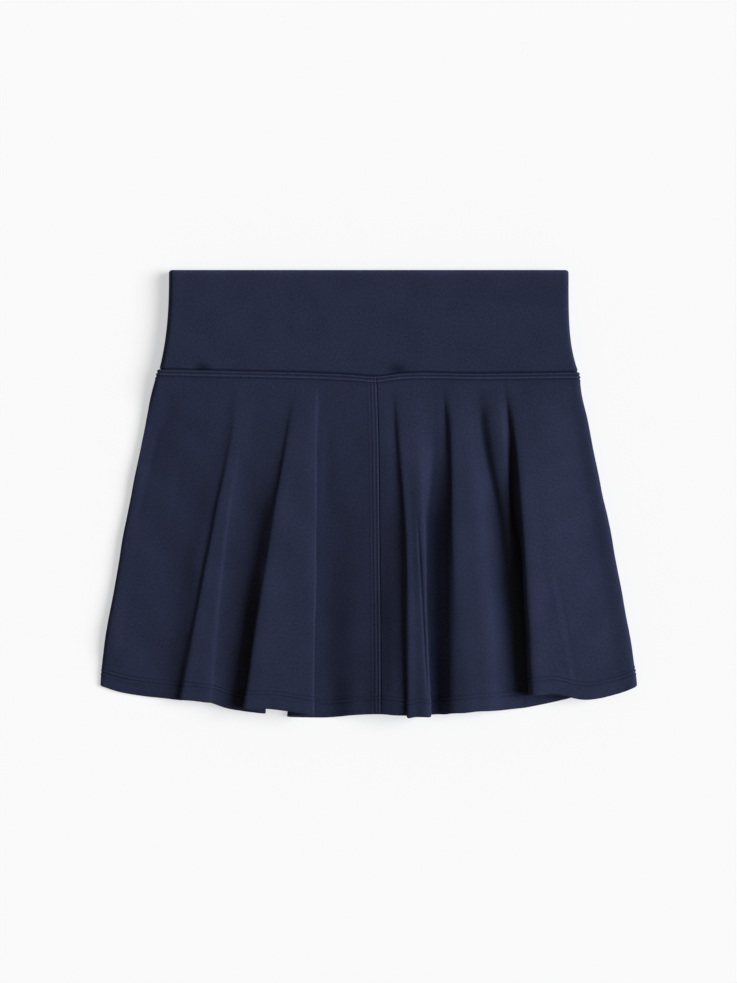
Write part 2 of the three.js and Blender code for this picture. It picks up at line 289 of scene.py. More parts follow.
STITCH_PLACES = np.array([-1.0, -0.86, -0.45, 0.45, 0.86, 1.0])
STITCH_RADII = np.array([0.35, 0.78, 1.0, 1.0, 0.78, 0.35])
STITCH_DIP = 0.2  # the ends of a stitch go into the cloth


def stitches(line, normals, radius=THREAD, share=0.66):
    """Rings of every stitch along a line on the cloth."""
    along = lengths_along(line)
    count = int(along[-1] / STITCH_PITCH)
    centres_at = (np.arange(count) + 0.5) * along[-1] / count
    places = centres_at[:, None] + STITCH_PLACES * STITCH_PITCH * share / 2
    at = np.stack([np.interp(places, along, line[:, i]) for i in range(3)], axis=-1)
    n = unit(np.stack([np.interp(places, along, normals[:, i]) for i in range(3)], axis=-1))
    tangents = unit(at[:, -1:] - at[:, :1]) + 0 * at
    at = at - n * (STITCH_DIP * STITCH_PLACES**2)[:, None]
    return rings_along(at, tangents, n, radius * STITCH_RADII + 0 * places)


def loopers(line, normals, across, radius=THREAD * 0.8, width=NEEDLE_GAUGE):
    """One ring per step of the looper thread that zigzags under a cover stitch."""
    along = lengths_along(line)
    steps = int(along[-1] / STITCH_PITCH) * 8
    s = np.linspace(0, along[-1], steps)
    at, n, side = (
        np.stack([np.interp(s, along, v[:, i]) for i in range(3)], axis=-1) for v in (line, normals, across)
    )
    swing = np.arcsin(np.sin(2 * math.pi * s / STITCH_PITCH)) / (math.pi / 2)
    lift = 0.12 * np.cos(4 * math.pi * s / STITCH_PITCH)
    at = at + side * (swing * width / 2)[:, None] + n * lift[:, None]
    return rings_along(at, unit(np.gradient(at, axis=0)), n, np.full(steps, radius))[None]


def add_threads(name, groups, material, slot):
    """One mesh from groups of tubes, each group (tubes, rings, SIDES, 3)."""
    vertices, quads, uv, start = [], [], [], 0
    for group in groups:
        tubes, rings = group.shape[:2]
        one = tube_quads(rings)
        offsets = start + np.arange(tubes)[:, None, None] * rings * SIDES
        quads.append((one[None] + offsets).reshape(-1, 4))
        vertices.append(group.reshape(-1, 3))
        twist = np.stack(np.broadcast_arrays(np.arange(rings)[:, None] * 0.3, ROUND[None] * 0.2), axis=-1)
        uv.append(np.broadcast_to(twist, (tubes, rings, SIDES, 2)).reshape(-1, 2))
        start += group[..., 0].size
    return add_mesh(name, *(np.concatenate(x) for x in (vertices, quads, uv)), material, slot)


# ---------------------------------------------------------------- materials


def node(tree, kind, inputs=None, **settings):
    made = tree.nodes.new(kind)
    for key, value in settings.items():
        setattr(made, key, value)
    for key, value in (inputs or {}).items():
        if isinstance(value, bpy.types.NodeSocket):
            tree.links.new(value, made.inputs[key])
        else:
            made.inputs[key].default_value = value
    return made


def fabric(name, dark, light, wale, roughness, relief, sheen, grain=900):
    """A knit: columns of stitches a wale apart, fine irregular shade, and a soft sheen.

    A mesh's attribute "painted_light_and_tucks" says how much lighter (painted highlight) and darker (painted
    shade) its colour is at a place, and how strongly the stitches of a seam pucker it there, for seams that
    run across and seams that run down. The puckers are bumps, and their lighter and darker dots are painted
    into the colour too."""
    material = bpy.data.materials.new(name)
    material.use_nodes = True
    tree = material.node_tree
    shader = tree.nodes["Principled BSDF"]
    place = node(tree, "ShaderNodeUVMap", uv_map="cloth").outputs["UV"]
    wales = (1 / (wale * MM), 1.4 / (wale * MM), 1)
    scaled = node(tree, "ShaderNodeMapping", {"Vector": place, "Scale": wales})
    axes = node(tree, "ShaderNodeSeparateXYZ", {"Vector": scaled.outputs["Vector"]}).outputs

    def maths(operation, *values):
        return node(tree, "ShaderNodeMath", dict(enumerate(values)), operation=operation).outputs[0]

    column = maths("PINGPONG", axes["X"], 0.5)
    slant = maths("MULTIPLY_ADD", column, 1.3, axes["Y"])
    rib = maths("SINE", maths("MULTIPLY", slant, 2 * math.pi))
    valley = maths("SINE", maths("MULTIPLY", column, 2 * math.pi))
    knit = maths("MULTIPLY", maths("MULTIPLY_ADD", rib, 0.3, valley), 0.5)
    fine = node(
        tree, "ShaderNodeTexNoise", {"Vector": place, "Scale": grain, "Detail": 3.0, "Roughness": 0.6}
    )
    broad = node(tree, "ShaderNodeTexNoise", {"Vector": place, "Scale": 35.0, "Detail": 2.0})
    attribute = node(tree, "ShaderNodeAttribute", attribute_name="painted_light_and_tucks").outputs["Vector"]
    painted_light_and_tucks = node(tree, "ShaderNodeSeparateXYZ", {"Vector": attribute}).outputs
    metres = node(tree, "ShaderNodeSeparateXYZ", {"Vector": place}).outputs
    tucks_across = maths("SINE", maths("MULTIPLY", metres["X"], 2 * math.pi / (STITCH_PITCH * MM)))
    tucks_down = maths("SINE", maths("MULTIPLY", metres["Y"], 2 * math.pi / (STITCH_PITCH * MM)))
    tucks = maths(
        "MULTIPLY_ADD", tucks_across, painted_light_and_tucks["Y"], maths("MULTIPLY", tucks_down, painted_light_and_tucks["Z"])
    )
    height = maths("ADD", maths("MULTIPLY_ADD", fine.outputs["Fac"], 0.9, knit), tucks)
    bump = node(
        tree, "ShaderNodeBump", {"Height": height, "Strength": relief, "Distance": 0.12 * MM}
    )
    shade = maths("MULTIPLY_ADD", broad.outputs["Fac"], 0.35, fine.outputs["Fac"])
    blend = node(tree, "ShaderNodeValToRGB", {"Fac": maths("MULTIPLY_ADD", knit, 0.05, shade)})
    blend.color_ramp.elements[0].position = 0.35
    blend.color_ramp.elements[1].position = 0.95
    blend.color_ramp.elements[0].color = (*dark, 1)
    blend.color_ramp.elements[1].color = (*light, 1)
    worn = node(
        tree,
        "ShaderNodeMapRange",
        {"Value": broad.outputs["Fac"], "To Min": roughness - 0.05, "To Max": roughness + 0.05},
    )
    # The colour is scaled by painted light: the puckers' lighter and darker dots, and the attribute's painted
    # highlight and painted shade.
    strength = maths("ADD", maths("MULTIPLY_ADD", tucks, 0.5, painted_light_and_tucks["X"]), 1.0)
    colour = node(
        tree, "ShaderNodeVectorMath", {0: blend.outputs["Color"], "Scale": strength}, operation="SCALE"
    )
    tree.links.new(colour.outputs["Vector"], shader.inputs["Base Color"])
    tree.links.new(worn.outputs["Result"], shader.inputs["Roughness"])
    tree.links.new(bump.outputs["Normal"], shader.inputs["Normal"])
    shader.inputs["Specular IOR Level"].default_value = 0.08
    shader.inputs["Sheen Weight"].default_value = sheen
    shader.inputs["Sheen Roughness"].default_value = 0.5
    shader.inputs["Sheen Tint"].default_value = (0.55, 0.62, 1.0, 1)
    return material


NAVY_DARK, NAVY_LIGHT = (0.0106, 0.0145, 0.0336), (0.0221, 0.0280, 0.0668)
shell = fabric("navy_double_knit", NAVY_DARK, NAVY_LIGHT, 0.6, 0.9, 0.5, 0.0, 520)
lining = fabric("navy_jersey", (0.012, 0.015, 0.033), (0.021, 0.025, 0.052), 0.5, 0.85, 0.5, 0.04)
mesh_cloth = fabric("navy_power_mesh", (0.008, 0.01, 0.022), (0.02, 0.024, 0.05), 1.4, 0.85, 0.9, 0.0)
elastic_cloth = fabric("dark_elastic", (0.008, 0.009, 0.014), (0.02, 0.022, 0.03), 1.0, 0.7, 1.0, 0.0)
thread = fabric("navy_thread", (0.018, 0.022, 0.050), (0.032, 0.038, 0.082), 0.15, 0.6, 0.4, 0.1, 4000)
satin = fabric("white_satin_tape", (0.72, 0.72, 0.71), (0.82, 0.82, 0.81), 0.25, 0.4, 0.3, 0.1, 2500)


# ---------------------------------------------------------------- relief of the seams


def seam_relief(distance):
    """Height of the cloth beside a seam whose allowance is pressed and cover stitched to this side.

    It bulges between the ditch of the seam and the two rows of needle holes."""
    bulges = 0.75 * bell(distance, FIRST_ROW * 0.5, 1.0) + 0.7 * bell(distance, FIRST_ROW + 1.7, 1.15)
    bulges += 0.4 * bell(distance, SECOND_ROW + 1.5, 1.1)
    rows = bell(distance, FIRST_ROW, 0.55) + bell(distance, SECOND_ROW, 0.55)
    return bulges - 1.3 * bell(distance, 0, 0.7) - 0.45 * rows


def seam_shade(distance):
    """How much lighter the colour is painted on the bulges beside a seam (a painted highlight), and how much
    darker in its ditch and needle rows (a painted shade).
    """
    rows = bell(distance, FIRST_ROW, 0.6) + bell(distance, SECOND_ROW, 0.6)
    return 0.6 * seam_tucks(distance) - 0.7 * rows - 0.35 * bell(distance, 0, 0.7)


def seam_tucks(distance):
    """How strongly the stitches pucker the cloth beside a seam, and between its rows."""
    return bell(distance, FIRST_ROW * 0.55, 0.75) + bell(distance, FIRST_ROW + NEEDLE_GAUGE / 2, 0.85)


def hem_relief(height):
    """Height of the cloth above the hem's fold, where its turned allowance lies inside."""
    turn = 0.45 * (1 - ease(height, HEM_ROW + NEEDLE_GAUGE + 1, HEM_ROW + NEEDLE_GAUGE + 3.5))
    rows = 0.7 * (bell(height, HEM_ROW, 0.6) + bell(height, HEM_ROW + NEEDLE_GAUGE, 0.6))
    ridges = 0.3 * (bell(height, HEM_ROW + 1.8, 1.0) + bell(height, HEM_ROW - 1.6, 1.2))
    fold = 0.35 * (1 - ease(height, 0, 1.2))
    return turn + ridges - rows - fold


# ---------------------------------------------------------------- the skirt

# How far above SEAM_Y the waist seam lies, by place across the front: it is pulled down at the centre.
SEAM_RISE = [
    (-1, 2.8), (-0.52, 0.8), (-0.26, -0.4), (-0.09, -1.9),
    (0.04, -3.5), (0.12, -1.5), (0.53, -0.9), (1, 0.2),
]

# Lines that run down the front, along ridges, valleys and the turns of folds. Each has its places across the
# skirt (millimetres from the middle) at four stations from the waist seam to the hem, its heights over the
# skirt's level at the last three, and how far its end is above the hem's lowest point.
STATIONS = (0, 0.15, 0.45, 1)
FRONT_LINES = [
    (-180, -187, -203, -225, -4, -4, -1, 22.6),
    (-160, -167, -180, -203, -1.5, -2.2, -1, 18.8),
    (-139, -145, -160, -185, 0, 0.2, 0.6, 17.1),
    (-124, -128, -147, -168, 0.5, 3.4, 6.2, 15.7),  # under the first flute
    (-120, -123, -139.5, -169.6, 1.6, 4.9, 7.4, 16.5),
    (-117, -120.5, -137.5, -168.5, 2.3, 7, 9.6, 16.2),
    (-112, -116, -131, -158, 2.3, 7.2, 10, 15.4),
    (-108, -113.5, -127.5, -144.5, 2.1, 6.9, 9.6, 13.8),
    (-106, -112, -126.4, -142.6, 2, 6.5, 9, 13.7),
    (-104, -109.5, -125, -140.8, 1.8, 5.8, 8.2, 13.3),
    (-98, -103, -113, -126, 1.4, 6, 7, 8.2),
    (-80, -86, -95.5, -92.8, 2.6, 9.8, 9, 4),  # under the broad flute
    (-66, -73, -86.6, -111.4, 3.7, 16, 20.6, 9.6),
    (-62, -70, -85.6, -110.6, 5, 18.9, 22.8, 9.4),
    (-52, -58, -71, -88, 5.3, 18.9, 22.2, 9.2),
    (-48, -50, -50, -53, 5, 18, 21, 4),
    (-46.5, -47, -47, -49.6, 4.2, 17, 20.2, 3.5),
    (-45.5, -46.6, -49.5, -54, 2, 6, 7, 2.5),
    (-44, -46, -57, -72.5, 1, 1, 0, 0.3),  # under it from the other side
    (-39, -40, -39, -38, 0.8, 0.2, -2, -0.6),
    (-18, -17, -15, -12, 1.6, 4.4, 6.4, 2.4),
    (7, 8.6, 9.8, 11.2, 2.6, 8.2, 12.8, 3.7),  # centre front seam
    (14, 15.5, 18, 22.5, 2.5, 10.5, 16.6, 3.1),
    (21.3, 23.3, 28.5, 38, 2, 13.6, 20, 2.5),  # under the third flute
    (22.5, 24.8, 31, 34.5, 2.7, 15.4, 21, 1.2),
    (24.5, 27, 33, 35.5, 4, 18.4, 23, 1),
    (31, 33, 38.5, 42.5, 4.1, 18.5, 22.8, 2.1),
    (41, 44, 49, 54, 3.3, 18.4, 22, 1.9),
    (50, 51.5, 49.8, 54.6, 1.8, 11, 12, 1.8),
    (58, 59, 50.8, 55.6, 0.8, 0.8, 0.2, 2),
    (62, 64, 59, 61.5, 0.8, 1.8, 1.2, 2.5),
    (65.5, 69.5, 69, 69, 0.8, 8, 8, 3.1),
    (67, 71.5, 73.2, 75, 2.5, 12, 12.6, 4.3),
    (70, 74, 75.5, 86, 4.2, 13.8, 14.4, 4.9),
    (80, 83, 87, 98, 4.2, 13.1, 13.7, 6.2),
    (87, 90, 97.5, 109, 3.1, 11, 11.8, 6.4),
    (93, 95.5, 107, 119, 1.5, 5, 6.6, 6.6),
    (98, 101.5, 117, 130, 0.3, 0.8, 3, 7.5),
    (105, 109, 123.5, 140, 3.6, 4.2, 1, 8.4),
    (113, 118.5, 127.5, 145, 4.1, 4.2, 1, 9.2),
    (121, 125.5, 131.5, 183, 1, 1, 0, 18),  # under the fifth flute
    (123.5, 128.5, 135, 144.5, 3.3, 10, 10, 20.3),
    (126, 130.5, 137, 146.5, 4.6, 18, 18.5, 20.8),
    (140, 146.5, 154.5, 166, 5.1, 15.2, 16, 22),
    (158, 164, 175, 195, 3.5, 10, 11.5, 16.5),
    (178, 184, 199, 225, -0.5, 3.5, 6, 21.7),
]
CENTRE_LINE = 21 + 3  # three lines of the left side edge come first
CREASED_LINE = 27  # the third flute's crease is before it
HEM_SIDE_RISE = 28
# Half widths of the outline by height along Y
LEFT_OUTLINE = [
    (-176, 241.9), (-150, 240.2), (-117, 234.8), (-74, 227.2), (-31, 219.6),
    (12, 210.8), (55, 202), (88, 195.3), (109, 189.3),
]
RIGHT_OUTLINE = [
    (-176, 242.3), (-150, 239.2), (-117, 233.6), (-63, 223.5), (-20, 214.9),
    (23, 205.5), (66, 197.3), (88, 192.1), (109, 189.6),
]

# Creases in the front: place across the skirt where each starts and ends, the shares of the way down where it
# does, its half width, and how far it stands out.
CREASES = [
    (43, 53, 0.38, 0.98, 1.1, -1.0),
    (158, 185, 0.55, 1.02, 3.0, 0.3),
    (163, 190, 0.55, 1.02, 3.0, -0.3),
    (-184, -212, 0.12, 0.52, 3.0, -0.4),
    (-164, -180, 0.22, 0.5, 4.5, -0.3),
    (-176, -184, 0.06, 0.2, 5.0, -0.4),
    (-34, -27, 0.86, 1.04, 9.0, -0.7),
    (-14, -16, 0.88, 1.04, 10.0, 0.7),
    (-36, -38, 0.1, 0.4, 6.0, -0.5),
]

# Heights of the middle of the front's cloth at the waist seam, on the shorts and at the hem
FRONT_AT_WAIST = BAND_TOP - 0.6
FRONT_ON_SHORTS = shorts_front_high[2] - 0.2
FRONT_AT_HEM = 3.3
SETTLING = 37  # how far below the waist seam the layers take to reach their full thickness


def skirt_rows():
    """Shares of the way from the waist seam to the hem, close together at the seam and the hem."""
    near_seam = np.arange(0, 11, 0.5)
    near_hem = LENGTH - np.arange(0, 21, 0.5)[::-1]
    between = np.linspace(near_seam[-1], near_hem[0], 116)[1:-1]
    return np.concatenate([near_seam, between, near_hem]) / LENGTH


COLUMN_SPACING = 1.7  # between the grid's columns at the hem
FINE_SPACING = 0.65  # the same, beside the centre seam and at the sharp crease


class Side:
    """One side of the skirt: the middle of its cloth as a grid, and what is measured on it."""

    def __init__(self, lines, centre, fine, level, edge_level, flipped):
        share = skirt_rows()[:, None]
        lines = np.array(lines, float)
        x = stations(share, lines[:, :4])
        height = stations(share, np.column_stack([0 * lines[:, 0], lines[:, 4:7]])) * ease(share, 0, 0.15)
        y = mix(SEAM_Y, HEM_Y + lines[:, 7], share)
        z = level(y) + height
        edge_y = mix(SEAM_Y, HEM_Y + HEM_SIDE_RISE, share)
        left, right = curve_through(edge_y, LEFT_OUTLINE), curve_through(edge_y, RIGHT_OUTLINE)
        middle = edge_level(share)
        fronts = np.stack([x, y, z], axis=-1)

        def beside(inset, lift, nearest, hand, edge_x):
            """A line near a side edge, between that edge and the nearest line of the front."""
            inwards = inset / np.abs(edge_x - fronts[:, nearest, :1])
            x = edge_x - hand * inset
            y = mix(edge_y, fronts[:, nearest, 1:2], inwards)
            z = middle + lift * (fronts[:, nearest, 2:] - middle)
            return np.concatenate([x, y, z], axis=1)[:, None]

        first = [beside(*place, 0, -1, -left) for place in ((0.4, 0.05), (1.0, 0.5), (2.8, 0.9))]
        last = [beside(*place, -1, 1, right) for place in ((2.8, 0.9), (1.0, 0.5), (0.4, 0.05))]
        points = np.concatenate([*first, fronts, *last], axis=1)
        spans = np.linalg.norm(np.diff(points[-1], axis=0), axis=1)
        spacing = np.full(len(spans), COLUMN_SPACING)
        for line in fine:
            spacing[line + 2] = FINE_SPACING
        counts = np.maximum(3, np.round(spans / spacing)).astype(int)
        grid = sweep(points, counts)
        self.centre = int(counts[:centre].sum())
        seam_rise = curve_through(grid[0, :, 0] / SEAM_HALF, SEAM_RISE)
        grid[..., 1] += seam_rise * (1 - share) ** 2
        self.share, self.flipped = share, flipped
        self.below_seam = share * (SEAM_Y - grid[-1, :, 1])
        self.above_hem = (1 - share) * (SEAM_Y - grid[-1, :, 1])
        steps = np.linalg.norm(np.diff(grid, axis=1), axis=2)
        along = np.concatenate([np.zeros((len(grid), 1)), np.cumsum(steps, axis=1)], axis=1)
        self.from_centre = along - along[:, self.centre, None]
        self.grid = grid
        self.normals = outward(grid, flipped)

    def raised(self, by):
        """The grid moved outwards by a distance."""
        return self.grid + self.normals * np.asarray(by)[..., None]


def front_level(y):
    onto_shorts = mix(FRONT_AT_WAIST, FRONT_ON_SHORTS, ease(SEAM_Y - y, 0, SETTLING))
    return mix(onto_shorts, FRONT_AT_HEM, ease(-y, -LEG_HEM_Y, -HEM_Y - 8))


EDGE_SWELL = 3.2  # raises the side edges, most halfway down
front = Side(
    FRONT_LINES,
    CENTRE_LINE,
    (CENTRE_LINE - 3, CENTRE_LINE - 2, CREASED_LINE),
    front_level,
    lambda share: mix(BAND_TOP / 2, 2.2, share) + EDGE_SWELL * share * (1 - share),
    False,
)

# The back lies flat, with low soft ridges.
def back_line(waist, hem, height, rise):
    places = [mix(waist, hem, share) for share in STATIONS]
    return (*places, *(height * share for share in STATIONS[1:]), rise)


BACK_LINES = [
    back_line(-165, -210, 0, 26),
    back_line(-135, -172, 0, 21),
    back_line(-125, -158, 1.5, 19),
    back_line(-113, -144, 0, 18),
    back_line(-79, -101, 0, 14),
    back_line(-68, -87, 1.5, 13),
    back_line(-57, -72, 0, 12),
    back_line(4, 10, 0, 7),
    back_line(57, 72, 0, 12),
    back_line(68, 87, 1.5, 13),
    back_line(79, 101, 0, 14),
    back_line(113, 144, 0, 18),
    back_line(125, 158, 1.5, 19),
    back_line(135, 172, 0, 21),
    back_line(165, 210, 0, 26),
]
BACK_CENTRE = 7 + 3
BACK_LEVEL = 0.9
back = Side(
    BACK_LINES,
    BACK_CENTRE,
    (BACK_CENTRE - 3, BACK_CENTRE - 2),
    lambda y: BACK_LEVEL + 0 * y,
    lambda share: mix(BAND_TOP / 2 - 1.2, 1.3, share) + EDGE_SWELL * share * (1 - share),
    True,
)


def creased(side):
    """How far the creases raise the front, by place."""
    x = side.grid[..., 0]
    height = np.zeros(x.shape)
    for start, end, first, last, width, raised in CREASES:
        part = (side.share - first) / (last - first)
        fading = ease(part, 0, 0.3) * (1 - ease(part, 0.75, 1))
        height += raised * bell(x, mix(start, end, part), width) * fading
    return height


def side_relief(side, seed):
    """How far the outer face of one side of the skirt stands out, and its inner face stands in."""
    s, down, up = side.from_centre, side.below_seam, side.above_hem
    to_left = np.where(s < 0, -s, 99)
    centre_seam = 0.45 * np.where(s < 0, seam_relief(to_left), -1.3 * bell(s, 0, 0.7))
    at_hem = ease(up, 0, 2)
    pucker = 0.10 * waves(s, down, 9, 60, seed) * np.exp(-down / 7)
    pucker += 0.10 * waves(s, up, 11, 60, seed + 1) * np.exp(-up / 9)
    drape = 0.35 * waves(s, down, 55, 190, seed + 2) * ease(down, 8, 60)
    relief = seam_relief(down) + hem_relief(up) + centre_seam * at_hem
    lining_out = 0.55 * (1 - ease(up, HEM_ROW + NEEDLE_GAUGE + 2, HEM_ROW + NEEDLE_GAUGE + 3))
    return relief, pucker + drape, lining_out


def painted_light_and_tucks_on(side):
    """What is painted on one side's outer face: painted highlight and painted shade at the seams and the hem,
    and how strongly the stitches tuck the cloth at seams that run across and down.
    """
    s, down, up = side.from_centre, side.below_seam, side.above_hem
    beside = np.where(s < 0, -s, abs(s) * 4)
    rows = bell(up, HEM_ROW, 0.6) + bell(up, HEM_ROW + NEEDLE_GAUGE, 0.6)
    between_rows = bell(up, HEM_ROW + NEEDLE_GAUGE / 2, 0.9)
    # Painted shade in the hem's needle rows and a painted highlight between them, added to the seams' painted
    # highlight and shade.
    shade = seam_shade(down) + 0.22 * seam_shade(beside) - 0.2 * rows + 0.06 * between_rows
    across = 1.8 * seam_tucks(down) + 0.8 * between_rows
    return np.stack([shade, across, 0.9 * seam_tucks(beside)], axis=-1)


BACK_RELIEF = 0.4  # the back's seams are pressed flat by what lies on them


def add_gores(name, side, seed):
    """Both gores of one side. The front drapes and is creased, and the back lies flat."""
    relief, drape, hem_turn = side_relief(side, seed)
    if name == "front":
        drape += creased(side)
    else:
        relief *= BACK_RELIEF
        drape *= 0
    side.outer = side.raised(CLOTH / 2 + relief + drape)
    side.inner = side.raised(-CLOTH / 2 - hem_turn + drape + np.minimum(relief, 0) * 0.5)
    uv = np.stack([side.from_centre, -side.below_seam], axis=-1)
    halves = (("left", slice(0, side.centre + 1)), ("right", slice(side.centre, None)))
    for hand, columns in halves:
        piece = add_cloth(
            f"skirt_{name}_{hand}_gore",
            side.outer[:, columns],
            side.inner[:, columns],
            uv[:, columns],
            shell,
            "shell",
            side.flipped,
            painted_light_and_tucks_on(side)[:, columns],
        )
        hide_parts(f"skirt_{name}_{hand}", f"skirt_side_seam_{hand}")


add_gores("front", front, 20)
add_gores("back", back, 40)


def row_on(side, surface, measure, at):
    """The line on a side's surface where measure, which changes down the rows, reaches at."""
    rows = np.arange(len(side.share))
    sign = 1 if measure[-1, 0] > measure[0, 0] else -1
    place = np.array([np.interp(sign * at, sign * column, rows) for column in measure.T])
    low = np.clip(place.astype(int), 0, len(rows) - 2)
    part = (place - low)[:, None]
    columns = np.arange(surface.shape[1])
    line = mix(surface[low, columns], surface[low + 1, columns], part)
    n = unit(mix(side.normals[low, columns], side.normals[low + 1, columns], part))
    return line, n


def column_on(side, surface, at):
    """The line down a side's surface at a distance from its centre seam."""
    lines, normals = [], []
    for i in range(len(surface)):
        place = np.interp(at, side.from_centre[i], np.arange(surface.shape[1]))
        low = min(int(place), surface.shape[1] - 2)
        lines.append(mix(surface[i, low], surface[i, low + 1], place - low))
        normals.append(mix(side.normals[i, low], side.normals[i, low + 1], place - low))
    return np.array(lines), unit(np.array(normals))


PROUD = 0.02  # a thread's centreline above the cloth


def add_stitching(name, side):
    """The cover stitches of one side: two needle rows at each seam, and the looper thread inside the hem."""
    waist_rows, hem_rows, centre_rows = [], [], []
    for row in (FIRST_ROW, SECOND_ROW):
        line, n = row_on(side, side.outer, side.below_seam, row)
        waist_rows.append(stitches(line + n * PROUD, n))
        line, n = column_on(side, side.outer, -row)
        sewn = slice(6, -4)
        centre_rows.append(stitches(line[sewn] + n[sewn] * PROUD, n[sewn]))
    for row in (HEM_ROW, HEM_ROW + NEEDLE_GAUGE):
        line, n = row_on(side, side.outer, side.above_hem, row)
        hem_rows.append(stitches(line + n * PROUD, n))
    line, n = row_on(side, side.inner, side.above_hem, HEM_ROW + NEEDLE_GAUGE / 2)
    down = unit(np.cross(unit(np.gradient(line, axis=0)), n))
    hem_rows.append(loopers(line - n * 0.15, -n, down))
    for seam, rows in (("waist", waist_rows), ("hem", hem_rows)):
        piece = add_threads(f"{seam}_stitching_{name}", rows, thread, "thread")
        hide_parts(f"{seam}_coverstitch_{name}")
    piece = add_threads(f"center_stitching_{name}", centre_rows, thread, "thread")
    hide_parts(f"center_{name}_coverstitch")


add_stitching("front", front)
add_stitching("back", back)


def add_strip(name, line, across, normals, width, thickness, material, slot):
    """A narrow flat strip, such as a seam allowance, along a line on the cloth."""
    places = np.linspace(-0.5, 0.5, 7)
    middle = line[None] + across[None] * (places * width)[:, None, None]
    half = thickness / 2 * np.sqrt(1.05 - (2 * places) ** 6)[:, None, None]
    along = lengths_along(line)
    uv = np.stack(np.broadcast_arrays(along[None], (places * width)[:, None]), axis=-1)
    up = normals[None]
    return add_cloth(name, middle + up * half, middle - up * half, uv, material, slot)


UNDER = 0.75  # from the cloth's inner face to the middle of an allowance


def add_allowance(name, line, outwards, node):
    """An overlocked seam allowance under a line on the inner face."""
    across = unit(np.cross(np.gradient(line, axis=0), -outwards))
    middle = line - outwards * UNDER
    piece = add_strip(name, middle, across, -outwards, ALLOWANCE, 1.0, lining, "lining")
    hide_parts(node)


def add_allowances(name, side):
    line, n = row_on(side, side.inner, side.below_seam, ALLOWANCE / 2 + 0.5)
    keep = slice(14, -14)
    add_allowance(f"waist_allowance_{name}", line[keep], n[keep], f"waist_seam_allowance_{name}")
    line, n = column_on(side, side.inner, -ALLOWANCE / 2)
    keep = slice(22, -42)
    add_allowance(f"center_allowance_{name}", line[keep], n[keep], f"center_{name}_seam_allowance")


def declare_gores(name):
    """Makes a list of the threads and allowances sewn onto one side's gores, and does nothing more with it.
    """
    sewn_on = [f"{seam}_{part}_{name}" for seam in ("waist", "center") for part in ("stitching", "allowance")]
    sewn_on.append(f"hem_stitching_{name}")


for name, side in (("front", front), ("back", back)):
    add_allowances(name, side)
    declare_gores(name)


# ---------------------------------------------------------------- the waistband

HALF_THICK = BAND_TOP / 2
EDGE_WIDTH = 3.6  # how wide the turn at each side is, seen from above
SIDE_SEAM = 1.35  # the right side seam lies this far round the edge; the left one is at 0


def band_half(y, on_left):
    """Half the band's width at a height. It widens down to the waist seam, later on the right."""
    down = np.clip((TOP_Y - y) / (TOP_Y - SEAM_Y), 0, 1.2)
    left = mix(WAIST_HALF + 1.6, SEAM_HALF, down**2.6)
    right = mix(WAIST_HALF + 2.1, SEAM_HALF, down**4)
    return np.where(on_left, left, right)


def band_outline(turn, y, depth):
    """Points round the flattened band. turn 0 to 1 crosses its front to the right, 1 to 2 goes round its
    right edge, 2 to 3 crosses its back to the left and 3 to 4 goes round its left edge."""
    radius = HALF_THICK - depth
    edge = EDGE_WIDTH - depth
    left, right = (EDGE_WIDTH - band_half(y, True)), (band_half(y, False) - EDGE_WIDTH)
    part = turn % 1
    angle = np.where(turn < 2, 0, math.pi) + math.pi * part
    on_front = turn < 1
    on_back = (turn >= 2) & (turn < 3)
    x = np.select(
        [on_front, on_back],
        [mix(left, right, part), mix(right, left, part)],
        np.where(turn < 2, right, left) + edge * np.sin(angle),
    )
    z = HALF_THICK + np.select([on_front, on_back], [radius, -radius], radius * np.cos(angle))
    return np.stack(np.broadcast_arrays(x, y, z), axis=-1)


def turns(start, stop):
    """Places round the band, about 2.5 mm apart on the flat and closer round the edges."""
    places = [start]
    while places[-1] < stop - 1e-6:
        step = 1 / 150 if int(places[-1] + 1e-9) % 2 == 0 else 1 / 14
        places.append(min(places[-1] + step, stop, math.floor(places[-1] + 1e-6) + 1))
    return np.array(places)


FOLD = 1.8  # radius of the fold along the band's top edge
DIMPLE_DEPTH = 2.8
# how much darker the dimples' colour is painted: a painted shade
DIMPLE_SHADE = 0.36


def band_profile():
    """Height up the band and depth into it: up the outer face, then over the fold to the facing."""
    up = np.concatenate([np.arange(0, 6, 0.5) / (TOP_Y - SEAM_Y - FOLD), np.linspace(0.067, 1, 50)])
    over = np.linspace(0, math.pi, 12)[1:]
    height = np.concatenate([mix(0, TOP_Y - SEAM_Y - FOLD, up), TOP_Y - SEAM_Y - FOLD + FOLD * np.sin(over)])
    depth = np.concatenate([0 * up, FOLD * (1 - np.cos(over))])
    return height[::-1, None], depth[::-1, None]


def dimpled(grid):
    """Where two soft dimples are above the waist seam, where the skirt pulls the band's front in."""
    x, up = grid[..., 0], grid[..., 1] - SEAM_Y
    both = bell(x, -152, 7) * bell(up, 3, 4.5) + bell(x, 22, 9.5) * bell(up, 1, 5.5)
    return both * (grid[..., 2] > HALF_THICK)


def rise_round_band(places):
    """How far the waist seam is above SEAM_Y, at places round the band."""
    crossing = np.where(places < 1, 2 * (places % 1) - 1, 0)
    at_edges = np.where(places < 2, SEAM_RISE[-1][1], SEAM_RISE[0][1])
    return np.where(places < 1, curve_through(crossing, SEAM_RISE), at_edges)


